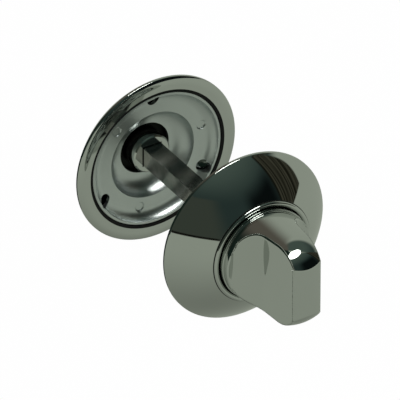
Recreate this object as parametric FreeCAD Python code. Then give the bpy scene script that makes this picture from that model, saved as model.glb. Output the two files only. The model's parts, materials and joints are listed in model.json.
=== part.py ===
"""Bathroom thumb turn lock: an inside rose with a scooped turn, an outside rose with a
coin-slot release, and the square spindle between them.

Millimetres. The spindle's axis is Y, +Z is up, and the thumb turn faces -Y. The origin is on
that axis, in the plane where the inside rose meets the door. Each piece is drawn about its own
local Z axis, with heights that rise from the door face, and is then stood on its side of the door.
"""
import FreeCAD, Part
import math
import os

V = FreeCAD.Vector

# Door
door_thickness = 44.0

# Rose: the same casting on both sides of the door
rose_diameter = 53.0
rose_height = 11.4
rose_wall = 1.6
rose_bulge = 0.5
rim_width = 4.0
rim_roll_width = 2.4
rim_roll_radius = 5.0
rim_edge_round = 0.25
lip_height = 1.2
lip_round = 0.5
bead_radius = 0.75
bead_gap = 0.3
collar_lip = 1.6
collar_depth = 2.8

# Base plate: dished, screwed to the door inside the rim
plate_thickness = 1.2
plate_edge_gap = 0.9
plate_setback = 0.3
plate_lip_width = 0.9
plate_edge_round = 0.35
plate_wall_round = 3.5
plate_ring_depth = 2.7
plate_well_depth = 7.0
plate_well_inset = 0.3
plate_well_round = 5.8
plate_hole_diameter = 16.2
screw_inset = 2.6
screw_hole_diameter = 3.8
screw_count = 3
first_screw_angle = 90.0
ejector_inset = 4.7
ejector_diameter = 3.0
ejector_depth = 0.3
first_ejector_angle = 45.0

# Snap ring that grips the plate's edge inside the rim
snap_ring_fit = 0.05
snap_ring_setback = 0.15
snap_ring_height = 2.25

# Neck, flange and hub, the same on the turn and on the release button
neck_diameter = 28.4
flange_width = 1.6
flange_thickness = 0.9
flange_play = 0.1
skirt_wall = 1.5
hub_diameter = 12.0
hub_setback = 3.0
hub_chamfer = 0.4
step_height = 12.5
step_width = 0.25

# Glide ring in the collar
glide_wall = 0.5
glide_flange_width = 1.0
glide_flange_thickness = 0.5
glide_seat_fit = 0.04
glide_setback = 0.15
running_clearance = 0.06

# Wave spring between the plate and the shoulder round the hub
spring_room = 1.1
spring_thickness = 0.2
spring_width = 2.2
spring_seat_gap = 0.05
spring_bore_gap = 0.3
spring_seat_margin = 0.3
spring_waves = 3
points_per_wave = 8

# Spindle and its sockets
spindle_width = 6.0
spindle_length = 68.0
spindle_chamfer = 0.5
spindle_end_gap = 0.1
socket_clearance = 0.25
turn_socket_depth = 21.0
release_socket_depth = 7.4

# Thumb turn: a domed body with two mirrored scoops and a barrel-shaped face
blade_height = 34.0
face_crown = 1.1
face_length = 15.8
dome_height = 9.0
dome_bulge = 1.65
blade_thickness = 9.3
scoop_radius = 200.0
scoop_vertex_rise = 9.0
scoop_floor = 14.6
scoop_round = 7.1
blade_edge_round = 0.35

# Release button: a low crowned disc with a coin slot
button_rise = 1.6
button_edge_round = 0.8
button_crown = 0.7
slot_length = 21.0
slot_width = 2.2
slot_depth = 2.6

# Worked out from the sizes above
rose_radius = rose_diameter / 2
rim_bore = rose_radius - rim_width
neck_radius = neck_diameter / 2
glide_bore = neck_radius + running_clearance
glide_radius = glide_bore + glide_wall
collar_bore = glide_radius + glide_seat_fit
collar_lip_foot = rose_height - collar_lip
bead_bore = neck_radius + bead_gap
collar_seat = rose_height - collar_depth
glide_foot = collar_seat - glide_flange_thickness
flange_top = glide_foot - flange_play
flange_foot = flange_top - flange_thickness
plate_radius = rim_bore - plate_edge_gap
plate_bore = plate_hole_diameter / 2
plate_back = plate_well_depth + plate_thickness
well_radius = neck_radius - plate_well_inset
well_rise = plate_well_depth - plate_ring_depth
well_run = math.sqrt(plate_well_round ** 2 - (plate_well_round - well_rise) ** 2)
lip_bore = plate_radius - plate_lip_width
wall_rise = plate_ring_depth - plate_setback
wall_run = math.sqrt(plate_wall_round ** 2 - (plate_wall_round - wall_rise) ** 2)
ring_radius = lip_bore - wall_run
shoulder = plate_back + spring_room
spring_bore = plate_bore + spring_bore_gap
body_radius = neck_radius - step_width
turn_height = blade_height + face_crown
socket_width = spindle_width + 2 * socket_clearance


def at(radius, height):
    """A point of a turned outline: its radius, and its height above the door face."""
    return V(radius, 0, height)


def line(start, end):
    return Part.LineSegment(start, end).toShape()


def lines(points):
    return [line(start, end) for start, end in zip(points, points[1:])]


def arc(start, middle, end):
    return Part.Arc(start, middle, end).toShape()


def round_about(centre, start, end):
    """The arc about a centre, the short way from one point to another at the same distance."""
    towards = (start + end) * 0.5 - centre
    towards.normalize()
    return arc(start, centre + towards * (start - centre).Length, end)


def turned(edges):
    """Spin a closed outline about the local Z axis."""
    face = Part.Face(Part.Wire(Part.sortEdges(edges)[0]))
    return face.revolve(V(0, 0, 0), V(0, 0, 1), 360)


def turned_section(points):
    """Spin a section of straight lines about the local Z axis."""
    return turned(lines(points + points[:1]))


def around(radius, count, first_angle):
    """Evenly spaced points on a circle about the local Z axis, the first at an angle in degrees."""
    turns = [math.radians(first_angle + 360 * step / count) for step in range(count)]
    return [V(radius * math.cos(turn), radius * math.sin(turn), 0) for turn in turns]


def square_bar(width, length, base_height):
    return Part.makeBox(width, width, length, V(-width / 2, -width / 2, base_height))


def rose():
    """Cone with a rolled rim on the door, a lip round it and a bead round the collar's hole."""
    lip_centre = at(rose_radius - lip_round, lip_height)
    cone_foot = lip_centre + V(lip_round, 0, lip_round) * math.sqrt(0.5)
    cone_top = at(bead_bore + 2 * bead_radius, rose_height - bead_radius)
    slope = (cone_top - cone_foot).normalize()
    outward = V(slope.z, 0, -slope.x)
    crest = (cone_foot + cone_top) * 0.5 + outward * rose_bulge
    inner_foot = cone_foot - outward * rose_wall
    rise_per_run = slope.z / slope.x
    rim_top = at(rim_bore, inner_foot.z + (rim_bore - inner_foot.x) * rise_per_run)
    seat_edge = at(inner_foot.x + (collar_seat - inner_foot.z) / rise_per_run, collar_seat)
    roll_centre = at(rose_radius - rim_roll_width, rim_roll_radius)
    roll_start = at(roll_centre.x, 0)
    edge_reach = rim_roll_radius - rim_edge_round
    edge_drop = math.sqrt(edge_reach ** 2 - (rim_roll_width - rim_edge_round) ** 2)
    edge_centre = at(rose_radius - rim_edge_round, rim_roll_radius - edge_drop)
    roll_end = roll_centre + (edge_centre - roll_centre) * (rim_roll_radius / edge_reach)
    edge_side = at(rose_radius, edge_centre.z)
    lip_side = at(rose_radius, lip_height)
    return turned([
        line(at(rim_bore, 0), roll_start),
        round_about(roll_centre, roll_start, roll_end),
        round_about(edge_centre, roll_end, edge_side),
        line(edge_side, lip_side),
        round_about(lip_centre, lip_side, cone_foot),
        arc(cone_foot, crest, cone_top),
        arc(cone_top, at(bead_bore + bead_radius, rose_height), at(bead_bore, cone_top.z)),
        *lines([
            at(bead_bore, cone_top.z),
            at(bead_bore, collar_lip_foot),
            at(collar_bore, collar_lip_foot),
            at(collar_bore, collar_seat),
            seat_edge,
            rim_top,
            at(rim_bore, 0),
        ]),
    ])


def plate_blank():
    """Outer bounds of the plate: a disc with a rounded edge on the door side."""
    edge = plate_radius - plate_edge_round
    edge_top = plate_setback + plate_edge_round
    return turned([
        line(at(plate_bore, plate_setback), at(edge, plate_setback)),
        round_about(at(edge, edge_top), at(edge, plate_setback), at(plate_radius, edge_top)),
        *lines([at(plate_radius, edge_top), at(plate_radius, plate_back), at(plate_bore, plate_back)]),
        line(at(plate_bore, plate_back), at(plate_bore, plate_setback)),
    ])


def plate_lip():
    return turned_section([
        at(lip_bore, plate_setback),
        at(plate_radius, plate_setback),
        at(plate_radius, plate_setback + plate_thickness),
        at(lip_bore, plate_setback + plate_thickness),
    ])


def plate_wall():
    """Hollow round wall that falls from the lip to the ring."""
    centre = at(ring_radius, plate_ring_depth - plate_wall_round)
    door_end = at(lip_bore, plate_setback)
    back_end = centre + (door_end - centre) * ((plate_wall_round + plate_thickness) / plate_wall_round)
    door_foot = at(ring_radius, plate_ring_depth)
    back_foot = at(ring_radius, plate_ring_depth + plate_thickness)
    return turned([
        round_about(centre, door_foot, door_end),
        line(door_end, back_end),
        round_about(centre, back_end, back_foot),
        line(back_foot, door_foot),
    ])


def plate_ring():
    return turned_section([
        at(well_radius, plate_ring_depth),
        at(ring_radius, plate_ring_depth),
        at(ring_radius, plate_ring_depth + plate_thickness),
        at(well_radius, plate_ring_depth + plate_thickness),
    ])


def plate_well():
    """Bowl with the hole for the hub in its floor, and a level seat for the spring behind it."""
    floor_radius = well_radius - well_run
    centre = at(floor_radius, plate_well_depth - plate_well_round)
    back_round = plate_well_round + plate_thickness
    ring_back = plate_ring_depth + plate_thickness
    back_edge = at(floor_radius + math.sqrt(back_round ** 2 - (ring_back - centre.z) ** 2), ring_back)
    seat_radius = spring_bore + spring_width + spring_seat_margin
    seat_foot = at(seat_radius, centre.z + math.sqrt(back_round ** 2 - (seat_radius - floor_radius) ** 2))
    floor_edge = at(floor_radius, plate_well_depth)
    well_edge = at(well_radius, plate_ring_depth)
    return turned([
        line(at(plate_bore, plate_well_depth), floor_edge),
        round_about(centre, floor_edge, well_edge),
        *lines([well_edge, at(back_edge.x, plate_ring_depth), back_edge]),
        round_about(centre, back_edge, seat_foot),
        *lines([
            seat_foot,
            at(seat_radius, plate_back),
            at(plate_bore, plate_back),
            at(plate_bore, plate_well_depth),
        ]),
    ])


def base_plate():
    """Dished plate with screw holes, and ejector pin marks between them."""
    dish = plate_lip().multiFuse([plate_wall(), plate_ring(), plate_well()]).common(plate_blank())
    holes = [
        Part.makeCylinder(screw_hole_diameter / 2, plate_back, centre)
        for centre in around(plate_radius - screw_inset, screw_count, first_screw_angle)
    ]
    marks = [
        Part.makeCylinder(ejector_diameter / 2, plate_ring_depth + ejector_depth, centre)
        for centre in around(plate_radius - ejector_inset, screw_count, first_ejector_angle)
    ]
    return dish.removeSplitter().cut(holes + marks)


def snap_ring():
    inner = plate_radius + snap_ring_fit
    outer = rim_bore - snap_ring_fit
    top = snap_ring_setback + snap_ring_height
    return turned_section([
        at(inner, snap_ring_setback),
        at(outer, snap_ring_setback),
        at(outer, top),
        at(inner, top),
    ])


def glide_ring():
    """Flanged bearing ring: its sleeve lines the collar and its flange carries the knob's."""
    top = collar_lip_foot - glide_setback
    flange_edge = glide_radius + glide_flange_width
    return turned_section([
        at(glide_bore, glide_foot),
        at(flange_edge, glide_foot),
        at(flange_edge, collar_seat),
        at(glide_radius, collar_seat),
        at(glide_radius, top),
        at(glide_bore, top),
    ])


def wave_edge(radius, height, swing):
    """Closed curve that rises and falls a whole number of times round a circle."""
    count = spring_waves * points_per_wave
    crests = [math.sin(2 * math.pi * step / points_per_wave) for step in range(count)]
    points = [
        point + V(0, 0, height + swing * crest)
        for point, crest in zip(around(radius, count, 0), crests)
    ]
    curve = Part.BSplineCurve()
    curve.interpolate(points, PeriodicFlag=True)
    return curve.toShape()


def wave_spring():
    """Flat strip bent into waves, closed on itself."""
    swing = (spring_room - spring_thickness) / 2 - spring_seat_gap
    middle = plate_back + spring_room / 2
    low = middle - spring_thickness / 2
    high = middle + spring_thickness / 2
    edge = spring_bore + spring_width
    corners = [(spring_bore, low), (edge, low), (edge, high), (spring_bore, high)]
    rings = [wave_edge(radius, height, swing) for radius, height in corners]
    faces = [Part.makeRuledSurface(a, b) for a, b in zip(rings, rings[1:] + rings[:1])]
    shell = Part.makeShell(faces)
    shell.sewShape()
    solid = Part.makeSolid(Part.Shell(shell.Faces))
    return solid if solid.Volume > 0 else solid.reversed()


def stem_points():
    """Outline shared by turn and button: hub, shoulder, skirt, flange and neck."""
    hub_radius = hub_diameter / 2
    skirt_bore = neck_radius - skirt_wall
    flange_radius = neck_radius + flange_width
    return [
        at(0, hub_setback),
        at(hub_radius - hub_chamfer, hub_setback),
        at(hub_radius, hub_setback + hub_chamfer),
        at(hub_radius, shoulder),
        at(skirt_bore, shoulder),
        at(skirt_bore, flange_foot),
        at(flange_radius, flange_foot),
        at(flange_radius, flange_top),
        at(neck_radius, flange_top),
        at(neck_radius, step_height - step_width),
    ]


def step():
    """Rounded step where the neck meets the slimmer body."""
    centre = at(body_radius, step_height - step_width)
    return round_about(centre, at(neck_radius, centre.z), at(body_radius, step_height))


def socket(depth):
    return square_bar(socket_width, depth, hub_setback)


def turn_body():
    """Turned blank of the thumb turn, before its scoops and its face are cut."""
    face_end = at(face_length / 2, turn_height)
    dome_foot = at(body_radius, turn_height - dome_height)
    chord = (face_end - dome_foot).normalize()
    dome_crest = (dome_foot + face_end) * 0.5 + V(chord.z, 0, -chord.x) * dome_bulge
    return turned([
        *lines(stem_points()),
        step(),
        line(at(body_radius, step_height), dome_foot),
        arc(dome_foot, dome_crest, face_end),
        *lines([face_end, at(0, turn_height), at(0, hub_setback)]),
    ])


def scoop():
    """Cutter for one side of the blade: a long hollow arc that rounds into a level floor."""
    centre = at(
        blade_thickness / 2 + math.sqrt(scoop_radius ** 2 - scoop_vertex_rise ** 2),
        blade_height + scoop_vertex_rise,
    )
    round_height = scoop_floor + scoop_round
    reach = scoop_radius - scoop_round
    round_centre = at(centre.x - math.sqrt(reach ** 2 - (centre.z - round_height) ** 2), round_height)
    vertex = centre - V(scoop_radius, 0, 0)
    meeting = centre + (round_centre - centre) * (scoop_radius / reach)
    floor_start = at(round_centre.x, scoop_floor)
    floor_end = at(2 * body_radius, scoop_floor)
    outline = Part.Wire([
        round_about(centre, vertex, meeting),
        round_about(round_centre, meeting, floor_start),
        *lines([floor_start, floor_end, at(floor_end.x, vertex.z), vertex]),
    ])
    cutter = Part.Face(outline).extrude(V(0, 4 * body_radius, 0))
    cutter.translate(V(0, -2 * body_radius, 0))
    return cutter


def barrel_face():
    """Cutter over the end of the blade, which leaves its face a barrel across the thickness."""
    half = blade_thickness / 2
    radius = (half ** 2 + face_crown ** 2) / (2 * face_crown)
    reach = 2 * body_radius
    foot = blade_height - face_crown
    block = Part.makeBox(2 * reach, 2 * reach, 3 * face_crown, V(-reach, -reach, foot))
    barrel = Part.makeCylinder(radius, 2 * reach, V(0, -reach, turn_height - radius), V(0, 1, 0))
    return block.cut(barrel)


def thumb_turn():
    """Turned body, scooped on both sides to a blade, with its long creases rounded."""
    right = scoop()
    left = right.copy()
    left.rotate(V(0, 0, 0), V(0, 0, 1), 180)
    blade = turn_body().cut([right, left, barrel_face()])
    creases = [
        edge for edge in blade.Edges
        if edge.BoundBox.ZMin > scoop_floor - blade_edge_round
        and edge.BoundBox.ZMin < blade_height - blade_edge_round
        and edge.BoundBox.ZLength > blade_edge_round
    ]
    return blade.makeFillet(blade_edge_round, creases).cut(socket(turn_socket_depth))


def coin_slot(floor_height, height):
    """Straight slot with round ends, upright when the blade is upright."""
    radius = slot_width / 2
    half = slot_length / 2 - radius
    middle = Part.makeBox(slot_width, 2 * half, height, V(-radius, -half, floor_height))
    ends = [Part.makeCylinder(radius, height, V(0, side * half, floor_height)) for side in (-1, 1)]
    return middle.multiFuse(ends)


def release_button():
    """Low crowned disc with a coin slot, on the same neck and hub as the turn."""
    edge_height = step_height + button_rise
    crown_edge = at(body_radius - button_edge_round, edge_height)
    crown_top = at(0, edge_height + button_crown)
    sphere = (crown_edge.x ** 2 + button_crown ** 2) / (2 * button_crown)
    half_way = crown_edge.x / 2
    half_way_height = crown_top.z - sphere + math.sqrt(sphere ** 2 - half_way ** 2)
    side_top = at(body_radius, edge_height - button_edge_round)
    disc = turned([
        *lines(stem_points()),
        step(),
        line(at(body_radius, step_height), side_top),
        round_about(at(crown_edge.x, side_top.z), side_top, crown_edge),
        arc(crown_edge, at(half_way, half_way_height), crown_top),
        line(crown_top, at(0, hub_setback)),
    ])
    slot = coin_slot(crown_top.z - slot_depth, slot_depth + button_crown)
    return disc.cut([slot, socket(release_socket_depth)])


def spindle():
    """Square bar with chamfered ends, seated in the release button's socket."""
    top = hub_setback + release_socket_depth - spindle_end_gap
    bar = square_bar(spindle_width, spindle_length, top - spindle_length)
    ends = [edge for edge in bar.Edges if edge.BoundBox.ZLength < spindle_chamfer]
    return bar.makeChamfer(spindle_chamfer, ends)


def on_turn_side(shape):
    """Stand a piece on the inside of the door: heights run to -Y and local Y becomes Z."""
    placed = shape.copy()
    placed.rotate(V(0, 0, 0), V(1, 0, 0), 90)
    return placed


def on_release_side(shape):
    """Stand a piece on the outside of the door, turned about to face +Y."""
    placed = on_turn_side(shape)
    placed.rotate(V(0, 0, 0), V(0, 0, 1), 180)
    placed.translate(V(0, door_thickness, 0))
    return placed


def build():
    """Every piece by its node's name."""
    both_sides = {
        "rose": rose(),
        "base_plate": base_plate(),
        "snap_ring": snap_ring(),
        "glide_ring": glide_ring(),
        "wave_spring": wave_spring(),
    }
    pieces = {f"turn_{name}": on_turn_side(shape) for name, shape in both_sides.items()}
    pieces.update({f"release_{name}": on_release_side(shape) for name, shape in both_sides.items()})
    pieces["thumb_turn"] = on_turn_side(thumb_turn())
    pieces["release_button"] = on_release_side(release_button())
    pieces["square_spindle"] = on_release_side(spindle())
    return pieces


os.makedirs("parts", exist_ok=True)
for name, shape in build().items():
    print(f"{name}: {shape.Volume:.1f} mm3, {len(shape.Solids)} solid, valid {shape.isValid()}")
    shape.exportStep(f"parts/{name}.step")
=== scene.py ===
# %% [markdown]
# # A bathroom thumb turn lock in chrome
# Two conical roses face each other across a door that isn't there. The near one carries a scooped
# thumb turn, the far one shows its back: a polished rim, a dished base plate, and the hub that takes
# the square spindle. FreeCAD made every piece at its real size, and this script dresses them. Chrome
# is a mirror, so a faceted mesh would break each reflection into steps. Every piece is therefore made
# again here from the same sizes, with a fine mesh and true smooth shading, and it replaces its node.

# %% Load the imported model
import bmesh
import bpy
import json
import math
import numpy as np
from mathutils import Matrix, Vector


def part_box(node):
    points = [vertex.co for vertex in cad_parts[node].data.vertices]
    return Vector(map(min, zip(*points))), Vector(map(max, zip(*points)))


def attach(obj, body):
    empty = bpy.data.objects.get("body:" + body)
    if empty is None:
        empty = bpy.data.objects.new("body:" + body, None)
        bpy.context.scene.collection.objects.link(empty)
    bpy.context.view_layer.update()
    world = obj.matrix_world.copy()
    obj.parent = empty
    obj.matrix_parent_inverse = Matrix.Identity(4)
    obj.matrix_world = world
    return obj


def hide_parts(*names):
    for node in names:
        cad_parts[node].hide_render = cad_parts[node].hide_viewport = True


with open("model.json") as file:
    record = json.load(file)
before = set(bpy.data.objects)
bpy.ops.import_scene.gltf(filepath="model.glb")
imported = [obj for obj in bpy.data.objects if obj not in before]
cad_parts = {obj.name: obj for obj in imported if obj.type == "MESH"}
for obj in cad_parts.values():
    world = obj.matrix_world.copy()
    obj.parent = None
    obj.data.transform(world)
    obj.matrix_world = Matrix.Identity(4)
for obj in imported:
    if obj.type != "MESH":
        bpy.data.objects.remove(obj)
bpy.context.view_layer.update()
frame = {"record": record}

# %% [markdown]
# ## Two sides of one door
# Both roses are the same casting, and turn and button share one stem. So each shape is drawn once,
# about its own Z axis, with heights that rise from the door's face. Two matrices then stand it on the
# inside or on the outside of the door. The door's faces come from the record's mounts.

# %% Stand a piece on its side of the door
MM = 0.001
mounts = {mount["name"]: mount for mount in frame["record"]["mounts"]}
outside_face = mounts["release_door_face"]["pos_m"][1]
lying = Matrix.Rotation(math.radians(90), 4, "X")
about = Matrix.Rotation(math.radians(180), 4, "Z")
STAND = {"turn": lying, "release": Matrix.Translation((0, outside_face, 0)) @ about @ lying}
print("door thickness, mm:", round(1000 * outside_face, 2))

# %% Read the main sizes from the frame
rose_low, rose_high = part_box("turn_rose")
turn_low, turn_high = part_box("thumb_turn")
button_low, button_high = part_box("release_button")
rose_radius = rose_high[0]
rose_height = -rose_low[1]
turn_height = -turn_low[1]
flange_radius = turn_high[0]
hub_setback = -turn_high[1]
button_height = button_high[1] - outside_face
print("rose radius and height, mm:", round(rose_radius / MM, 2), round(rose_height / MM, 2))
print("turn and button height, mm:", round(turn_height / MM, 2), round(button_height / MM, 2))

# %% [markdown]
# ## Node maths written as Python
# A material or a geometry tree is a graph of nodes. Written link by link it hides its own meaning, so
# a small class wraps one socket and gives it the arithmetic signs: `1 - mask * 0.5` then adds the Math
# nodes itself. Every other node comes from one method, which takes its type, settings and sockets.


# %% Wrap sockets and node trees
class Signal:
    """One output socket that can be used in sums."""

    def __init__(self, graph, socket):
        self.graph = graph
        self.socket = socket

    def maths(self, operation, *operands):
        return self.graph.node("ShaderNodeMath", {"operation": operation}, dict(enumerate(operands)))

    def apply(self, operation):
        """A function of this signal alone, such as its sine."""
        return self.maths(operation, self)

    def __add__(self, other):
        return self.maths("ADD", self, other)

    def __sub__(self, other):
        return self.maths("SUBTRACT", self, other)

    def __rsub__(self, other):
        return self.maths("SUBTRACT", other, self)

    def __mul__(self, other):
        return self.maths("MULTIPLY", self, other)

    def __truediv__(self, other):
        return self.maths("DIVIDE", self, other)

    def __rtruediv__(self, other):
        return self.maths("DIVIDE", other, self)

    def __mod__(self, other):
        return self.maths("MODULO", self, other)

    def __lt__(self, other):
        return self.maths("LESS_THAN", self, other)

    __radd__ = __add__
    __rmul__ = __mul__


class Graph:
    """A node tree that grows by expressions."""

    def __init__(self, tree):
        self.tree = tree

    def node(self, kind, settings=None, sockets=None, output=0):
        made = self.tree.nodes.new(kind)
        for name, value in (settings or {}).items():
            setattr(made, name, value)
        for key, value in (sockets or {}).items():
            if isinstance(value, Signal):
                self.tree.links.new(value.socket, made.inputs[key])
            else:
                made.inputs[key].default_value = value
        return Signal(self, made.outputs[output]) if len(made.outputs) else made

    def also(self, signal, output):
        """Another output of the node that a signal comes from."""
        return Signal(self, signal.socket.node.outputs[output])


print("node helpers ready")

# %% [markdown]
# ## The finishes
# The roses, the turn and the button are zinc castings, polished and chromed. Chrome is a metal whose
# colour is a cool middle grey, and almost all of its look is what it mirrors, so the surface only needs
# a breath of unevenness: faint smears in the roughness and a very long, shallow waviness. Inside a rose,
# at the hub's foot and in the corner under the bead, shade is painted: a mask by radius and depth turns
# the colour there near black and the surface dull. The base plates have the same
# plate over an unpolished casting, which is softer and grainy. The spindle is drawn bar, with fine lines
# along its length and patches of paler and darker zinc.


# %% Start a material
def new_finish(name):
    finish = bpy.data.materials.new(name)
    finish.use_nodes = True
    finish.node_tree.nodes.clear()
    graph = Graph(finish.node_tree)
    place = graph.node("ShaderNodeTexCoord", output="Object")
    return finish, graph, place


def noise(graph, place, scale, detail=2.0, stretch=(1, 1, 1)):
    """Noise of one scale per metre, stretched along the axes that have a small factor."""
    scaled = graph.node("ShaderNodeMapping", {"vector_type": "POINT"}, {"Vector": place, "Scale": stretch})
    sockets = {"Vector": scaled, "Scale": scale, "Detail": detail}
    return graph.node("ShaderNodeTexNoise", {"noise_dimensions": "3D"}, sockets, output="Fac")


def blend_colours(graph, mask, low, high):
    """Go from one colour to another, each a triple or a signal, as a mask goes from 0 to 1."""
    low, high = (colour if isinstance(colour, Signal) else (*colour, 1) for colour in (low, high))
    return graph.node("ShaderNodeMix", {"data_type": "RGBA"}, {0: mask, 6: low, 7: high}, output=2)


def above(value, edge, blur):
    """A mask that goes from 0 to 1 across an edge."""
    sockets = {"Value": value, "From Min": edge - blur, "From Max": edge + blur}
    return value.graph.node("ShaderNodeMapRange", {"interpolation_type": "SMOOTHSTEP"}, sockets)


def within(value, low, high, blur):
    return above(value, low, blur) * (1 - above(value, high, blur))


def close_metal(graph, colour, roughness, relief, depth, **constants):
    """Join colour, roughness and relief in one shader and end the material."""
    bump = graph.node("ShaderNodeBump", sockets={"Height": relief, "Strength": 1.0, "Distance": depth})
    sockets = {"Base Color": colour, "Roughness": roughness, "Metallic": 1.0, "Normal": bump}
    shader = graph.node("ShaderNodeBsdfPrincipled", sockets=sockets | constants)
    graph.node("ShaderNodeOutputMaterial", sockets={"Surface": shader})


print("finish helpers ready")


# %% Mirror chrome
def hollow_shade(graph, place):
    """A mask of painted shade for a rose's inside, the hub's foot and the corner under the bead, by radius
    and depth.
    """
    x = graph.node("ShaderNodeSeparateXYZ", sockets={0: place})
    y, z = graph.also(x, "Y"), graph.also(x, "Z")
    radius = (x * x + z * z).apply("SQRT")
    depth = (y - outside_face / 2).apply("ABSOLUTE") - outside_face / 2
    under_cone = above(25.2 * MM - depth * 1.14 - radius, 0, 0.2 * MM)
    inside = under_cone * within(depth, 1.3 * MM, 9.4 * MM, 0.1 * MM)
    inside = inside * (1 - (radius < 7 * MM) * (1 - above(depth, 6 * MM, 2 * MM)))
    across, along = radius - 16 * MM, depth - 10.65 * MM
    return inside + 1 - above((across * across + along * along).apply("SQRT"), 0.2 * MM, 0.1 * MM)


def mirror_chrome():
    finish, graph, place = new_finish("mirror_chrome")
    cloud = noise(graph, place, 55, 3)
    smear = noise(graph, place, 900, 3, (1, 0.25, 1))
    painted_shade_dull = hollow_shade(graph, place)
    colour = blend_colours(graph, cloud, (0.57, 0.595, 0.57), (0.61, 0.63, 0.61))
    # painted shade: the colour goes near black inside the rose, at the hub's foot and in the corner under the
    # bead
    colour = blend_colours(graph, painted_shade_dull, colour, (0.02, 0.021, 0.02))
    roughness = 0.018 + cloud * 0.02 + smear * 0.014 + painted_shade_dull * 0.5
    close_metal(graph, colour, roughness, noise(graph, place, 70, 1), 2e-6)
    return finish


chrome = mirror_chrome()
print("made", chrome.name)


# %% Plated casting
def plated_casting():
    finish, graph, place = new_finish("plated_casting")
    flow = noise(graph, place, 140, 4)
    grain = noise(graph, place, 2600, 2)
    colour = blend_colours(graph, flow, (0.57, 0.61, 0.61), (0.68, 0.72, 0.715))
    roughness = 0.26 + flow * 0.08 + grain * 0.05
    close_metal(graph, colour, roughness, flow * 0.6 + grain * 0.25, 1.2e-5)
    return finish


casting = plated_casting()
print("made", casting.name)


# %% Drawn bar, spring strip and black nylon
def drawn_bar():
    finish, graph, place = new_finish("drawn_bar")
    lines = noise(graph, place, 2400, 3, (1, 0.03, 1))
    patches = noise(graph, place, 160, 3)
    colour = blend_colours(graph, above(patches, 0.5, 0.22), (0.30, 0.32, 0.30), (0.54, 0.51, 0.50))
    roughness = 0.08 + lines * 0.08 + patches * 0.06
    close_metal(graph, colour, roughness, lines, 3e-6)
    return finish


def spring_strip():
    finish, graph, place = new_finish("spring_strip")
    lines = noise(graph, place, 1500, 3)
    colour = blend_colours(graph, lines, (0.30, 0.30, 0.31), (0.40, 0.40, 0.41))
    close_metal(graph, colour, 0.22 + lines * 0.15, lines, 5e-6)
    return finish


def black_nylon():
    finish, graph, place = new_finish("black_nylon")
    grain = noise(graph, place, 3000, 3)
    colour = blend_colours(graph, grain, (0.006, 0.006, 0.007), (0.014, 0.014, 0.015))
    constants = {"Metallic": 0.0, "Specular IOR Level": 0.15}
    close_metal(graph, colour, 0.5 + grain * 0.12, grain, 1e-6, **constants)
    return finish


steel, strip, nylon = drawn_bar(), spring_strip(), black_nylon()
print("made", steel.name, strip.name, nylon.name)

# %% [markdown]
# ## Turned pieces from their outlines
# A rose, a plate, a ring and a stem are all turned shapes: one outline, spun about the axis. The
# outline is a polyline of radius and height. Mirrors show the smallest dent in the shading, so arcs
# get many short steps, and a straight run gets a holding point just inside each end, which keeps its
# flat part flat. A geometry tree spins the outline: it lays a grid, and looks each point's radius
# and height up in the outline by its place in the column.


# %% Draw an outline
class Outline:
    """Radius and height of a turned shape, point by point, in metres."""

    hold = 0.06 * MM
    arc_step = math.radians(5)

    def __init__(self, radius, height):
        self.points = [np.array((radius, height))]

    def line(self, radius, height):
        start, end = self.points[-1], np.array((radius, height))
        length = np.linalg.norm(end - start)
        if length > 4 * self.hold:
            margin = self.hold / length
            self.points += [start + (end - start) * share for share in (margin, 1 - margin)]
        self.points.append(end)
        return self

    def round(self, radius, height, centre):
        """An arc about a centre, the short way to a point at the same distance."""
        start, end, centre = self.points[-1] - centre, np.array((radius, height)) - centre, np.array(centre)
        sweep = math.atan2(start[0] * end[1] - start[1] * end[0], start @ end)
        steps = max(4, math.ceil(abs(sweep) / self.arc_step))
        for turn in np.linspace(0, sweep, steps + 1)[1:]:
            cos, sin = math.cos(turn), math.sin(turn)
            self.points.append(centre + (cos * start[0] - sin * start[1], sin * start[0] + cos * start[1]))
        return self

    def bulge(self, radius, height, rise, steps):
        """An arc that stands out to the right of its chord by a rise at the middle."""
        start, end = self.points[-1], np.array((radius, height))
        half = (end - start) / 2
        length = np.linalg.norm(half)
        outward = np.array((half[1], -half[0])) / length
        reach = (length ** 2 + rise ** 2) / (2 * rise)
        centre = start + half - outward * (reach - rise)
        opening = math.asin(length / reach)
        for turn in np.linspace(-opening, opening, steps + 1)[1:]:
            self.points.append(centre + reach * (outward * math.cos(turn) + half / length * math.sin(turn)))
        return self


print("outline helper ready")


# %% Build the spinning tree
CREASE = math.radians(24)


def new_tree(name, inputs):
    """A geometry tree with a geometry in and out, and one named input for each size."""
    tree = bpy.data.node_groups.new(name, "GeometryNodeTree")
    tree.interface.new_socket("Geometry", in_out="INPUT", socket_type="NodeSocketGeometry")
    for label, kind in inputs.items():
        tree.interface.new_socket(label, in_out="INPUT", socket_type="NodeSocket" + kind)
    tree.interface.new_socket("Geometry", in_out="OUTPUT", socket_type="NodeSocketGeometry")
    graph = Graph(tree)
    start = graph.node("NodeGroupInput")
    return graph, {label: graph.also(start, label) for label in ("Geometry", *inputs)}


def end_tree(graph, shape, finish):
    """Real geometry in one material, as the export needs it."""
    real = graph.node("GeometryNodeRealizeInstances", sockets={"Geometry": shape})
    dressed = graph.node("GeometryNodeSetMaterial", sockets={"Geometry": real, "Material": finish})
    graph.node("NodeGroupOutput", sockets={"Geometry": dressed})
    return graph.tree


def creased(graph, shape, angle):
    """Smooth faces with a sharp edge wherever two of them meet at more than an angle."""
    sockets = {"Geometry": shape, "Shade Smooth": True}
    smooth = graph.node("GeometryNodeSetShadeSmooth", {"domain": "FACE"}, sockets)
    meeting = graph.node("GeometryNodeInputMeshEdgeAngle")
    sockets = {"Geometry": smooth, "Shade Smooth": meeting < angle}
    return graph.node("GeometryNodeSetShadeSmooth", {"domain": "EDGE"}, sockets)


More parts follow.
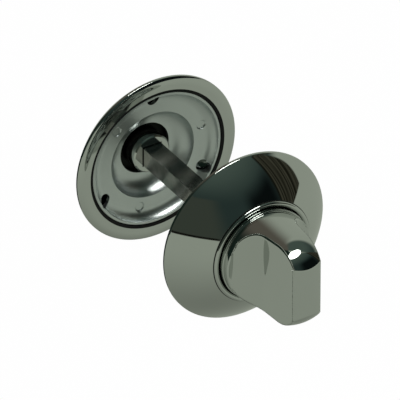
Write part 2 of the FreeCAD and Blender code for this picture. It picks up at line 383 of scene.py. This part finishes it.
def spinning_tree():
    inputs = {"Segments": "Int", "Crease": "Float", "Waves": "Int", "Swing": "Float", "Finish": "Material"}
    graph, size = new_tree("spun_outline", inputs)
    sockets = {"Geometry": size["Geometry"]}
    count = graph.node("GeometryNodeAttributeDomainSize", {"component": "MESH"}, sockets)
    sockets = {"Vertices X": size["Segments"] + 1, "Vertices Y": count}
    grid = graph.node("GeometryNodeMeshGrid", sockets=sockets)
    index = graph.node("GeometryNodeInputIndex")
    column = (index / count).apply("FLOOR")
    position = graph.node("GeometryNodeInputPosition")
    sockets = {"Geometry": size["Geometry"], "Value": position, "Index": index % count}
    settings = {"data_type": "FLOAT_VECTOR", "domain": "POINT"}
    outline = graph.node("GeometryNodeSampleIndex", settings, sockets)
    radius = graph.node("ShaderNodeSeparateXYZ", sockets={"Vector": outline})
    angle = column * (2 * math.pi) / size["Segments"]
    wave = (angle * size["Waves"]).apply("SINE") * size["Swing"]
    across, along = radius * angle.apply("COSINE"), radius * angle.apply("SINE")
    height = graph.also(radius, "Z") + wave
    point = graph.node("ShaderNodeCombineXYZ", sockets={0: across, 1: along, 2: height})
    spun = graph.node("GeometryNodeSetPosition", sockets={"Geometry": grid, "Position": point})
    closed = graph.node("GeometryNodeMergeByDistance", sockets={"Geometry": spun, "Distance": 1e-7})
    return end_tree(graph, creased(graph, closed, size["Crease"]), size["Finish"])


spun_outline = spinning_tree()
print("tree", spun_outline.name, "with", len(spun_outline.nodes), "nodes")


# %% Run a tree and keep its mesh
def plain_mesh(piece):
    """What the piece's modifiers make, kept as its own mesh once they are removed."""
    graph = bpy.context.evaluated_depsgraph_get()
    mesh = bpy.data.meshes.new_from_object(piece.evaluated_get(graph))
    piece.modifiers.clear()
    piece.data = mesh
    return mesh


def run_tree(piece, tree, **sizes):
    """Set a tree's inputs by their identifiers, evaluate it, and keep the result."""
    modifier = piece.modifiers.new(tree.name, "NODES")
    for item in tree.interface.items_tree:
        if item.in_out == "INPUT" and item.name in sizes:
            modifier[item.identifier] = sizes[item.name]
    modifier.node_group = tree
    return plain_mesh(piece)


def face_outwards(mesh):
    shape = bmesh.new()
    shape.from_mesh(mesh)
    bmesh.ops.recalc_face_normals(shape, faces=shape.faces)
    shape.to_mesh(mesh)
    shape.free()


def new_piece(name, points=(), edges=(), faces=()):
    mesh = bpy.data.meshes.new(name)
    mesh.from_pydata([tuple(point) for point in points], edges, faces)
    piece = bpy.data.objects.new(name, mesh)
    bpy.context.scene.collection.objects.link(piece)
    return piece


def turned_piece(name, outline, finish, segments=256, waves=0, swing=0.0):
    """Spin a closed outline into a piece about the local Z axis."""
    points = [(radius, 0, height) for radius, height in outline.points]
    piece = new_piece(name, points, [(i, i + 1) for i in range(len(points) - 1)])
    sizes = {"Segments": segments, "Crease": CREASE, "Waves": waves, "Swing": swing, "Finish": finish}
    face_outwards(run_tree(piece, spun_outline, **sizes))
    return piece


def put_on_door(piece, side, body):
    """Stand a finished piece on its side, in place of the node that it is named after."""
    piece.data.transform(STAND[side])
    node = piece.name.removesuffix("_finish")
    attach(piece, body)
    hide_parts(node)
    print(piece.name, len(piece.data.polygons), "faces")


print("tree helpers ready")

# %% [markdown]
# ## The roses
# Each rose is a shallow cone with a slight belly, a rounded lip where it meets the door, and a round
# bead about its hole. The belly is what bends the reflections into long curves. The far rose shows its
# rim, which is flat where it meets the door and rolls away outwards. The outline closes round the
# wall's inside as well.

# %% Spin the roses
rim_bore = rose_radius - 4 * MM
roll_width, roll_reach, rim_edge = 2.4 * MM, 5 * MM, 0.25 * MM
lip_height, lip_round = 1.2 * MM, 0.5 * MM
belly, rose_wall, bead = 0.5 * MM, 1.6 * MM, 0.75 * MM
neck_radius = 14.2 * MM
bead_bore, collar_bore = neck_radius + 0.3 * MM, neck_radius + 0.6 * MM
collar_lip, collar_seat = rose_height - 1.6 * MM, rose_height - 2.8 * MM


def rose_outline():
    lip = np.array((rose_radius - lip_round, lip_height))
    foot = lip + lip_round * math.sqrt(0.5)
    top = np.array((bead_bore + 2 * bead, rose_height - bead))
    slope = (top - foot) / np.linalg.norm(top - foot)
    inner = foot - rose_wall * np.array((slope[1], -slope[0]))
    rise = slope[1] / slope[0]
    rim_top = inner[1] + (rim_bore - inner[0]) * rise
    seat_edge = inner[0] + (collar_seat - inner[1]) / rise
    roll = np.array((rose_radius - roll_width, roll_reach))
    edge_reach = roll_reach - rim_edge
    edge_drop = math.sqrt(edge_reach ** 2 - (roll_width - rim_edge) ** 2)
    edge = np.array((rose_radius - rim_edge, roll_reach - edge_drop))
    roll_end = roll + (edge - roll) * (roll_reach / edge_reach)
    outline = Outline(rim_bore, 0).line(roll[0], 0).round(*roll_end, roll).round(rose_radius, edge[1], edge)
    outline.line(rose_radius, lip_height).round(*foot, lip).bulge(*top, belly, 36)
    crest = np.array((bead_bore + bead, top[1]))
    outline.round(crest[0], rose_height, crest).round(bead_bore, top[1], crest)
    outline.line(bead_bore, collar_lip).line(collar_bore, collar_lip).line(collar_bore, collar_seat)
    return outline.line(seat_edge, collar_seat).line(rim_bore, rim_top).line(rim_bore, 0)


for side in ("turn", "release"):
    rose = turned_piece(f"{side}_rose_finish", rose_outline(), chrome, 320)
    put_on_door(rose, side, f"{side}_side")

# %% [markdown]
# ## The base plates
# A plate is one dished casting: a lip in the rim, a hollow round wall, a flat ring, a bowl in the middle
# and a hole for the hub. The outline spins like the rest. Three screw holes and three ejector marks repeat
# round the axis, so a second tree sets cylinders or blunt cones on a circle and cuts them all at once. A
# single one, drawn out long and thin, scribes the line on the ring.

# %% Build the drilling tree
plate_radius = rim_bore - 0.9 * MM
plate_setback, plate_thickness = 0.3 * MM, 1.2 * MM
plate_ring, plate_well = 2.7 * MM, 7 * MM
well_radius, plate_bore = 13.9 * MM, 8.1 * MM
spring_bore, spring_edge = 8.4 * MM, 10.6 * MM
screw_circle, screw_hole = 19 * MM, 1.9 * MM


def drilling_tree():
    inputs = {
        "Count": "Int", "Circle": "Float", "First angle": "Float", "Radius": "Float", "End radius": "Float",
        "Stretch": "Float", "Foot": "Float", "Depth": "Float", "Sides": "Int", "Finish": "Material",
    }
    graph, size = new_tree("drilled_ring", inputs)
    ring = graph.node("GeometryNodeMeshCircle", sockets={"Vertices": size["Count"], "Radius": size["Circle"]})
    turn = graph.node("ShaderNodeCombineXYZ", sockets={"Z": size["First angle"]})
    rise = graph.node("ShaderNodeCombineXYZ", sockets={"Z": size["Foot"]})
    sockets = {"Geometry": ring, "Translation": rise, "Rotation": turn}
    places = graph.node("GeometryNodeTransform", sockets=sockets)
    sockets = {"Vertices": size["Sides"], "Radius Bottom": size["Radius"], "Radius Top": size["End radius"]}
    drill = graph.node("GeometryNodeMeshCone", {"fill_type": "NGON"}, sockets | {"Depth": size["Depth"]})
    longer = graph.node("ShaderNodeCombineXYZ", sockets={0: size["Stretch"], 1: 1.0, 2: 1.0})
    sockets = {"Points": places, "Instance": drill, "Rotation": turn, "Scale": longer}
    drills = graph.node("GeometryNodeInstanceOnPoints", sockets=sockets)
    tools = graph.node("GeometryNodeRealizeInstances", sockets={"Geometry": drills})
    settings = {"operation": "DIFFERENCE", "solver": "EXACT"}
    cut = graph.node("GeometryNodeMeshBoolean", settings, {"Mesh 1": size["Geometry"], "Mesh 2": tools})
    return end_tree(graph, creased(graph, cut, CREASE), size["Finish"])


drilled_ring = drilling_tree()
print("tree", drilled_ring.name, "with", len(drilled_ring.nodes), "nodes")


# %% Spin and drill the plates
def plate_outline():
    lip, edge = plate_radius - 0.9 * MM, 0.35 * MM
    wall, well = 3.5 * MM, 5.8 * MM
    wall_run = math.sqrt(wall ** 2 - (wall - plate_ring + plate_setback) ** 2)
    well_run = math.sqrt(well ** 2 - (well - plate_well + plate_ring) ** 2)
    ring, floor, seat = lip - wall_run, well_radius - well_run, spring_edge + 0.3 * MM
    lip_back, ring_back, back = (depth + plate_thickness for depth in (plate_setback, plate_ring, plate_well))
    wall_centre, well_centre = (ring, plate_ring - wall), (floor, plate_well - well)
    wall_back, well_back = wall + plate_thickness, well + plate_thickness
    wall_start = ring + math.sqrt(wall_back ** 2 - (lip_back - wall_centre[1]) ** 2)
    well_start = floor + math.sqrt(well_back ** 2 - (ring_back - well_centre[1]) ** 2)
    seat_foot = well_centre[1] + math.sqrt(well_back ** 2 - (seat - floor) ** 2)
    outline = Outline(plate_bore, plate_well).line(floor, plate_well)
    outline.round(well_radius, plate_ring, well_centre)
    outline.line(ring, plate_ring).round(lip, plate_setback, wall_centre)
    outline.line(plate_radius - edge, plate_setback)
    outline.round(plate_radius, plate_setback + edge, (plate_radius - edge, plate_setback + edge))
    outline.line(plate_radius, lip_back).line(wall_start, lip_back).round(ring, ring_back, wall_centre)
    outline.line(well_start, ring_back).round(seat, seat_foot, well_centre).line(seat, back)
    return outline.line(plate_bore, back).line(plate_bore, plate_well)


section = plate_outline()
screws = {"Count": 3, "Circle": screw_circle, "First angle": math.radians(90), "Stretch": 1.0}
screws |= {"Radius": screw_hole, "End radius": screw_hole, "Foot": 0.0, "Depth": 9 * MM}
marks = {"Count": 3, "Circle": 16.9 * MM, "First angle": math.radians(45), "Stretch": 1.0}
marks |= {"Radius": 1.9 * MM, "End radius": 1.2 * MM, "Foot": 2.3 * MM, "Depth": 0.7 * MM}
scribe = {"Count": 1, "Circle": 17.5 * MM, "First angle": math.radians(121.6), "Stretch": 8.5}
scribe |= {"Radius": 0.15 * MM, "End radius": 0.15 * MM, "Foot": 1 * MM, "Depth": 1.95 * MM}
for side in ("turn", "release"):
    plate = turned_piece(f"{side}_base_plate_finish", section, casting, 192)
    for drill in (screws, marks, scribe):
        run_tree(plate, drilled_ring, **drill, Sides=40, Finish=casting)
    put_on_door(plate, side, f"{side}_side")

# %% [markdown]
# ## Rings and wave springs
# A black nylon ring grips each plate inside its rim, and a flanged one lines each collar. The wave
# spring is a flat strip whose height swings three times on the way round, so the spinning tree makes
# it too, with its Waves and Swing inputs set.

# %% Spin rings and springs
glide_bore, glide_radius = neck_radius + 0.06 * MM, neck_radius + 0.56 * MM
glide_foot = collar_seat - 0.5 * MM


def ring_outline(corners):
    outline = Outline(*corners[0])
    for corner in corners[1:] + corners[:1]:
        outline.line(*corner)
    return outline


def box_corners(inner, outer, low, high):
    return [(inner, low), (outer, low), (outer, high), (inner, high)]


glide_top, glide_edge = collar_lip - 0.15 * MM, glide_radius + 1 * MM
glide_corners = [(glide_bore, glide_foot), (glide_edge, glide_foot), (glide_edge, collar_seat)]
glide_corners += [(glide_radius, collar_seat), (glide_radius, glide_top), (glide_bore, glide_top)]
snap_corners = box_corners(plate_radius + 0.05 * MM, rim_bore - 0.05 * MM, 0.15 * MM, 2.4 * MM)
spring_corners = box_corners(spring_bore, spring_edge, 8.65 * MM, 8.85 * MM)
for side in ("turn", "release"):
    snap = turned_piece(f"{side}_snap_ring_finish", ring_outline(snap_corners), nylon, 192)
    glide = turned_piece(f"{side}_glide_ring_finish", ring_outline(glide_corners), nylon, 192)
    spring = turned_piece(f"{side}_wave_spring_finish", ring_outline(spring_corners), strip, 144, 3, 0.4 * MM)
    for piece, slot in ((snap, "black_nylon"), (glide, "black_nylon"), (spring, "spring_steel")):
        put_on_door(piece, side, f"{side}_side")

# %% [markdown]
# ## The release button
# Turn and button share a stem: a hub with a square socket, a shoulder for the spring, a skirt, a flange
# behind the glide ring and a neck through it. The button closes it with a low crowned disc. A third
# tree cuts what isn't turned, the coin slot in its face and the square socket in its hub.

# %% Build the slotting tree
body_radius, step_height = 13.95 * MM, 12.5 * MM
skirt_bore, hub_radius, hub_chamfer = 12.7 * MM, 6 * MM, 0.4 * MM
shoulder, flange_top = 9.3 * MM, glide_foot - 0.1 * MM
flange_foot = flange_top - 0.9 * MM
socket_width = 6.5 * MM


def stem_outline():
    """From the middle of the hub's end up to the step where the body starts."""
    step = neck_radius - body_radius
    outline = Outline(0, hub_setback).line(hub_radius - hub_chamfer, hub_setback)
    outline.line(hub_radius, hub_setback + hub_chamfer).line(hub_radius, shoulder)
    outline.line(skirt_bore, shoulder).line(skirt_bore, flange_foot).line(flange_radius, flange_foot)
    outline.line(flange_radius, flange_top).line(neck_radius, flange_top)
    outline.line(neck_radius, step_height - step)
    return outline.round(body_radius, step_height, (body_radius, step_height - step))


def slotting_tree():
    inputs = {
        "Slot width": "Float", "Slot length": "Float", "Slot floor": "Float", "Slot top": "Float",
        "Socket width": "Float", "Socket end": "Float", "Finish": "Material",
    }
    graph, size = new_tree("slotted_button", inputs)
    tall = size["Slot top"] - size["Slot floor"]
    rise = size["Slot floor"] + tall / 2
    half = (size["Slot length"] - size["Slot width"]) / 2
    block = graph.node("ShaderNodeCombineXYZ", sockets={0: size["Slot width"], 1: half * 2, 2: tall})
    bar = graph.node("GeometryNodeMeshCube", sockets={"Size": block})
    middle = graph.node("ShaderNodeCombineXYZ", sockets={2: rise})
    bar = graph.node("GeometryNodeTransform", sockets={"Geometry": bar, "Translation": middle})
    sockets = {"Vertices": 48, "Radius": size["Slot width"] / 2, "Depth": tall}
    end = graph.node("GeometryNodeMeshCylinder", {"fill_type": "NGON"}, sockets)
    shape = size["Geometry"]
    settings = {"operation": "DIFFERENCE", "solver": "EXACT"}
    width = size["Socket width"]
    socket = graph.node("ShaderNodeCombineXYZ", sockets={0: width, 1: width, 2: size["Socket end"] * 2})
    tools = [bar, graph.node("GeometryNodeMeshCube", sockets={"Size": socket})]
    for way in (-1, 1):
        place = graph.node("ShaderNodeCombineXYZ", sockets={1: half * way, 2: rise})
        tools.append(graph.node("GeometryNodeTransform", sockets={"Geometry": end, "Translation": place}))
    for tool in tools:
        shape = graph.node("GeometryNodeMeshBoolean", settings, {"Mesh 1": shape, "Mesh 2": tool})
    return end_tree(graph, creased(graph, shape, CREASE), size["Finish"])


slotted_button = slotting_tree()
print("tree", slotted_button.name, "with", len(slotted_button.nodes), "nodes")

# %% Spin and slot the button
button_round, button_crown, slot_depth = 0.8 * MM, 0.7 * MM, 2.6 * MM
edge_height = button_height - button_crown
crown_edge = body_radius - button_round
outline = stem_outline().line(body_radius, edge_height - button_round)
outline.round(crown_edge, edge_height, (crown_edge, edge_height - button_round))
crown_reach = (crown_edge ** 2 + button_crown ** 2) / (2 * button_crown)
for share in np.linspace(1, 0, 25)[1:]:
    radius = share * crown_edge
    drop = crown_reach - math.sqrt(crown_reach ** 2 - radius ** 2)
    outline.points.append(np.array((radius, button_height - drop)))
button = turned_piece("release_button_finish", outline, chrome, 192)
slot_sizes = {"Slot width": 2.2 * MM, "Slot length": 21 * MM, "Socket width": socket_width, "Finish": chrome}
slot_sizes |= {"Slot floor": button_height - slot_depth, "Slot top": button_height + button_crown}
slot_sizes["Socket end"] = hub_setback + 7.4 * MM
run_tree(button, slotted_button, **slot_sizes)
put_on_door(button, "release", "release")

# %% [markdown]
# ## The thumb turn
# The turn starts as a domed body, and two mirrored scoops leave a blade between them. Its front face is
# a shallow barrel, so the crease between face and dome is an arch. A cut with a boolean would leave long
# thin faces along each crease, and a mirror shows those as scratches. So the surfaces are laid out as
# patches that share their border points: a grid for each scoop and for the face, a strip of the turned
# body above and below, a ledge at each scoop's foot, and the stem.

# %% Lay out the scoop and the body
scoop_reach, scoop_round, scoop_floor = 200 * MM, 7.1 * MM, 14.6 * MM
blade_half, scoop_vertex, face_crown = 4.65 * MM, 9 * MM, 1.1 * MM
blade_height = turn_height - face_crown
dome_foot, face_end = (body_radius, turn_height - 9 * MM), (7.9 * MM, turn_height)


def scoop_outline():
    """Half thickness and height down one scoop, from the front face to the level floor."""
    vertex = blade_height + scoop_vertex
    far = blade_half + math.sqrt(scoop_reach ** 2 - scoop_vertex ** 2)
    round_height = scoop_floor + scoop_round
    reach = scoop_reach - scoop_round
    round_centre = np.array((far - math.sqrt(reach ** 2 - (vertex - round_height) ** 2), round_height))
    opening = math.asin((vertex - round_height) / reach)
    first = math.asin(scoop_vertex / scoop_reach)
    rows = [
        (far - scoop_reach * math.cos(turn), vertex - scoop_reach * math.sin(turn))
        for turn in np.linspace(first, opening, 61)
    ]
    rows += [
        (round_centre[0] - scoop_round * math.cos(turn), round_height - scoop_round * math.sin(turn))
        for turn in np.linspace(opening, math.pi / 2, 25)[1:]
    ]
    return np.array(rows)


def body_outline():
    """Radius of the turned body at any height, read from its finely stepped outline."""
    dome = Outline(*dome_foot).bulge(*face_end, 1.65 * MM, 400)
    table = np.array([(body_radius, step_height), *dome.points])
    return lambda height: np.interp(height, table[:, 1], table[:, 0])


def face_height(x):
    """Height of the barrel-shaped face at a distance from its middle line."""
    reach = (blade_half ** 2 + face_crown ** 2) / (2 * face_crown)
    return turn_height - reach + np.sqrt(reach ** 2 - x ** 2)


rows = scoop_outline()
radius_at = body_outline()
body = radius_at(rows[:, 1])
half_width = np.sqrt(body ** 2 - rows[:, 0] ** 2)
print("scoop rows", len(rows), "blade width at the face, mm:", round(2 * half_width[0] / MM, 2))


# %% Join the patches
def patch_faces(first, second):
    """Quads between two rows of point numbers of equal length."""
    return [(a, b, c, d) for a, b, c, d in zip(first, first[1:], second[1:], second)]


class Patchwork:
    """Points and faces of a mesh, put together from rows of points."""

    def __init__(self):
        self.points, self.faces = [], []

    def row(self, points):
        start = len(self.points)
        self.points += [tuple(point) for point in points]
        return list(range(start, len(self.points)))

    def rows(self, rows):
        """Join rows of points with quads, and give the first and last row's numbers."""
        numbers = [self.row(points) for points in rows]
        for first, second in zip(numbers, numbers[1:]):
            self.faces += patch_faces(first, second)
        return numbers[0], numbers[-1]


def spread(count, margin):
    """Shares from -1 to 1 in even steps, with the outermost step held to a margin."""
    inner = np.linspace(-1 + margin, 1 - margin, count)
    return np.array([-1, *inner, 1])


columns = spread(33, 0.07)
sweep = (spread(57, 0.05) + 1) / 2
opening = np.arctan2(half_width, rows[:, 0])
turns = opening[:, None] + (math.pi - 2 * opening[:, None]) * sweep
crest = np.full(len(sweep), blade_height)
for _ in range(60):
    crest = face_height(radius_at(crest) * np.cos(turns[0]))
lift = np.clip((rows[:, 1] - dome_foot[1]) / (blade_height - dome_foot[1]), 0, 1)
heights = rows[:, 1][:, None] + lift[:, None] * (crest - blade_height)
strip_x, strip_y = (radius_at(heights) * part(turns) for part in (np.cos, np.sin))
blade = Patchwork()
for way in (1, -1):
    blade.rows([[(way * f, way * w * u, a) for u in columns] for (f, a), w in zip(rows, half_width)])
    blade.rows([list(zip(way * x, way * y, a)) for x, y, a in zip(strip_x, strip_y, heights)])
blade.rows([[(x, y * u, a) for u in columns] for x, y, a in zip(strip_x[0], strip_y[0], crest)])
print("blade patches", len(blade.points), "points")
print("face rises, mm:", round((crest.max() - blade_height) / MM, 2))

# %% Close the ledges and the stem
ledge_turns = np.linspace(-opening[-1], opening[-1], 31)
half_ring = np.concatenate([ledge_turns[:-1], turns[-1][:-1]])
ring_turns = np.concatenate([half_ring, half_ring + math.pi])
for way in (1, -1):
    ledge = [(way * body[-1] * math.cos(t), way * body[-1] * math.sin(t), scoop_floor) for t in ledge_turns]
    ledge += [(way * rows[-1, 0], way * half_width[-1] * u, scoop_floor) for u in columns[-2:0:-1]]
    blade.faces.append(tuple(blade.row(ledge)))


def ring(radius, height):
    turns = [*ring_turns, ring_turns[0]]
    return [(radius * math.cos(t), radius * math.sin(t), height) for t in turns]


def square_ring(width, height):
    """The same turns on a square, with the nearest one moved into each corner."""
    half = width / 2
    points = [(half * math.cos(t), half * math.sin(t)) for t in ring_turns]
    points = [np.array(point) * half / max(abs(point[0]), abs(point[1])) for point in points]
    for corner in ((half, half), (-half, half), (-half, -half), (half, -half)):
        nearest = min(range(len(points)), key=lambda i: np.linalg.norm(points[i] - np.array(corner)))
        points[nearest] = np.array(corner)
    return [(x, y, height) for x, y in [*points, points[0]]]


socket_end = hub_setback + 21 * MM
stem = [ring(body[-1], scoop_floor)] + [ring(*point) for point in stem_outline().points[:2:-1]]
stem += [ring(hub_radius - hub_chamfer, hub_setback)]
stem += [square_ring(socket_width, hub_setback), square_ring(socket_width, socket_end)]
last = blade.rows(stem)[1]
blade.faces.append(tuple(last[:-1]))
print("whole turn", len(blade.points), "points")

# %% [markdown]
# A knife-sharp crease never catches the light, and the real blade shows a fine bright line along each
# of its creases. A bevel rounds them by just under half a millimetre, less between face and dome, and not
# at all where three creases meet at a ledge. Weighted normals then keep the large surfaces true, so the
# narrow rounds don't drag the reflections.


# %% Round the creases
def round_creases(piece, width, weigh):
    """Merge the patches, give each crease its share of the bevel, and keep the result."""
    shape = bmesh.new()
    shape.from_mesh(piece.data)
    bmesh.ops.remove_doubles(shape, verts=shape.verts, dist=1e-6)
    bmesh.ops.recalc_face_normals(shape, faces=shape.faces)
    share = shape.edges.layers.float.new("bevel_weight_edge")
    for edge in shape.edges:
        sharp = len(edge.link_faces) == 2 and edge.calc_face_angle() > math.radians(15)
        edge[share] = weigh(edge) if sharp else 0.0
        edge.smooth = not (sharp and edge[share] == 0)
    for face in shape.faces:
        face.smooth = True
    open_edges = sum(len(edge.link_faces) != 2 for edge in shape.edges)
    shape.to_mesh(piece.data)
    shape.free()
    bevel = piece.modifiers.new("creases", "BEVEL")
    bevel.limit_method, bevel.width, bevel.segments = "WEIGHT", width, 4
    bevel.use_clamp_overlap = False
    normals = piece.modifiers.new("normals", "WEIGHTED_NORMAL")
    normals.keep_sharp = True
    plain_mesh(piece)
    return open_edges


ledge_corner = Vector((rows[-1, 0], half_width[-1], scoop_floor))


def turn_crease(edge):
    """The share of the full round an edge gets; it fades out where three creases meet at a ledge."""
    low, high = sorted(vertex.co.z for vertex in edge.verts)
    if low > blade_height - 0.01 * MM:
        return 0.5 if high > blade_height + 0.01 * MM else 1.0
    middle = (edge.verts[0].co + edge.verts[1].co) / 2
    distance = (Vector((abs(middle.x), abs(middle.y), middle.z)) - ledge_corner).length
    return min(max(distance / (1.5 * MM) - 0.2, 0), 1) if low > scoop_floor - 0.01 * MM else 0.0


turn = new_piece("thumb_turn_finish", blade.points, [], blade.faces)
turn.data.materials.append(chrome)
print("open edges:", round_creases(turn, 0.45 * MM, turn_crease))
put_on_door(turn, "turn", "turn")

# %% [markdown]
# ## The spindle
# The bar is cold-drawn square steel: flat faces, long edges with hardly any radius, and a chamfer at
# each end. Its box comes from the frame.


# %% Make the bar
def bar_points(low, high, chamfer):
    sections = [(low[1], chamfer), (low[1] + chamfer, 0), (high[1] - chamfer, 0), (high[1], chamfer)]
    return [
        [(low[0] + cut if x < 0 else high[0] - cut, y, low[2] + cut if z < 0 else high[2] - cut)
         for x, z in ((-1, -1), (1, -1), (1, 1), (-1, 1), (-1, -1))]
        for y, cut in sections
    ]


bar = Patchwork()
first, last = bar.rows(bar_points(*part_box("square_spindle"), 0.5 * MM))
bar.faces += [tuple(first[:-1]), tuple(last[:-1])]
spindle = new_piece("square_spindle_finish", bar.points, [], bar.faces)
spindle.data.materials.append(steel)
print("open edges:", round_creases(spindle, 0.14 * MM, lambda edge: 1.0))
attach(spindle, "release")
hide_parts("square_spindle")

# %% [markdown]
# ## Camera
# The lock is seen from the front left and above, from far enough away for long lines to stay nearly
# parallel. The lens is worked out from the frame's width at the lock, so the scale is one number.

# %% Set the camera
azimuth, elevation = math.radians(-32.49), math.radians(34.3)
picture, pixels_per_mm = 400, 3.535
distance, pixel = 3.0, MM / pixels_per_mm
frame_width = picture * pixel
backward = Vector((
    math.sin(azimuth) * math.cos(elevation), -math.cos(azimuth) * math.cos(elevation), math.sin(elevation),
))
rightward = Vector((math.cos(azimuth), math.sin(azimuth), 0))
upward = backward.cross(rightward)
aim = Vector((0, outside_face / 2, 0)) + rightward * 0.7 * pixel - upward * 4.1 * pixel
camera = bpy.data.objects.new("camera", bpy.data.cameras.new("camera"))
camera.location = aim + backward * distance
camera.rotation_euler = (-backward).to_track_quat("-Z", "Y").to_euler()
camera.data.lens = camera.data.sensor_width * distance / frame_width
camera.data.clip_start, camera.data.clip_end = 0.01, 50
bpy.context.scene.collection.objects.link(camera)
bpy.context.scene.camera = camera
print("lens, mm:", round(camera.data.lens, 1))

# %% [markdown]
# ## Floor and studio
# The floor is plain and pale. It lies well below and stays out of the mirrors: chrome is read by the
# room it shows, so the room is drawn as a sky of its own. A grey table and a grey panel on the right
# give the light areas. In front and above is the dark room, with a wall, a curtain and one soft box
# overhead. Each is a zone of direction, with azimuth from the front and height above the horizon.


# %% Lay the floor
def pale_floor():
    finish, graph, place = new_finish("pale_floor")
    cloud = noise(graph, place, 3, 2)
    colour = blend_colours(graph, cloud, (0.99, 0.99, 0.99), (1.0, 1.0, 1.0))
    glow = graph.node("ShaderNodeEmission", sockets={"Color": colour, "Strength": 1.0})
    graph.node("ShaderNodeOutputMaterial", sockets={"Surface": glow})
    return finish


reach, level = 6.0, -0.25
corners = [(x, y, level) for x, y in ((-reach, -reach), (reach, -reach), (reach, reach), (-reach, reach))]
floor = new_piece("floor", corners, [], [(0, 1, 2, 3)])
floor.data.materials.append(pale_floor())
floor.visible_glossy = floor.visible_diffuse = floor.visible_shadow = False
print("floor", 2 * reach, "m square")


# %% Measure a direction of the room
def new_room():
    """An empty world, with the azimuth and the height of each direction in degrees."""
    world = bpy.data.worlds.new("studio")
    bpy.context.scene.world = world
    world.use_nodes = True
    world.node_tree.nodes.clear()
    graph = Graph(world.node_tree)
    x = graph.node("ShaderNodeSeparateXYZ", sockets={0: graph.node("ShaderNodeTexCoord", output="Generated")})
    y, z = graph.also(x, "Y"), graph.also(x, "Z")
    azimuth = x.maths("ARCTAN2", x, 0 - y) * math.degrees(1)
    height = z.apply("ARCSINE") * math.degrees(1)
    return graph, azimuth, height


graph, azimuth, height = new_room()
print("room measured in", len(graph.tree.nodes), "nodes")

# %% Paint the room
table = blend_colours(graph, above(height, -50, 40), (0.23, 0.25, 0.21), (0.37, 0.405, 0.34))
ceiling = blend_colours(graph, above(height, 44, 14), (0.026, 0.042, 0.038), (0.075, 0.105, 0.088))
shade = within(azimuth, 14, 54, 9) * (1 - above(height, 34, 7))
room = blend_colours(graph, shade, ceiling, (0.004, 0.006, 0.006))
wall = (1 - above(azimuth, -22, 9)) * (1 - above(height, 35, 1.2))
room = blend_colours(graph, wall, room, (0.050, 0.060, 0.047))
skirting = within(height, -3, 0.6, 0.5) * (1 - above(azimuth, -26, 4))
room = blend_colours(graph, skirting, room, (0.006, 0.006, 0.004))
fold = graph.node("ShaderNodeCombineXYZ", sockets={0: azimuth * 0.9, 1: height * 0.03})
folds = graph.node("ShaderNodeTexNoise", sockets={"Vector": fold, "Scale": 0.45, "Detail": 3.0}, output="Fac")
curtain = blend_colours(graph, above(folds, 0.52, 0.16), (0.008, 0.008, 0.005), (0.062, 0.060, 0.042))
room = blend_colours(graph, above(azimuth, 53, 1.5), room, curtain)
front = above(height, -1.5, 0.4) * (1 - above(azimuth + height * height * 0.011, 80, 0.6))
over_panel = above(height - azimuth * 0.4, 0, 7) * above(azimuth, 50, 10)
colour = blend_colours(graph, over_panel, table, ceiling)
colour = blend_colours(graph, front, colour, room)
back = blend_colours(graph, above(height, 28, 16), (0.016, 0.022, 0.018), (0.115, 0.105, 0.085))
colour = blend_colours(graph, above(height, 4, 6) * above(azimuth, 158, 16), colour, back)
upper_left = above(height, 28, 16) * (1 - above(azimuth, -150, 20))
corner = blend_colours(graph, upper_left, (0.012, 0.022, 0.017), back)
behind_left = above(height, -58, 5) * (1 - above(azimuth - height * 1.15, -105, 1.5))
colour = blend_colours(graph, behind_left, colour, corner)
print("room painted in", len(graph.tree.nodes), "nodes")


# %% Hang the soft box and show a white ground to the camera
def soft_box(graph, azimuth, height, across, tall):
    """A round lamp with a small dark middle."""
    away = (azimuth / across) * (azimuth / across) + (height / tall) * (height / tall)
    return (1 - above(away, 1.0, 0.06)) * above(away, 0.04, 0.04)


lamp = soft_box(graph, azimuth - 20, height - 69, 42, 11)
colour = blend_colours(graph, lamp, colour, (8.0, 8.2, 7.8))
camera_ray = graph.node("ShaderNodeLightPath", output="Is Camera Ray")
colour = blend_colours(graph, camera_ray, colour, (1.0, 1.0, 1.0))
sky = graph.node("ShaderNodeBackground", sockets={"Color": colour, "Strength": 1.0})
graph.node("ShaderNodeOutputWorld", sockets={"Surface": sky})
bpy.context.scene.view_settings.view_transform = "Standard"
print("studio lit with", len(graph.tree.nodes), "nodes")
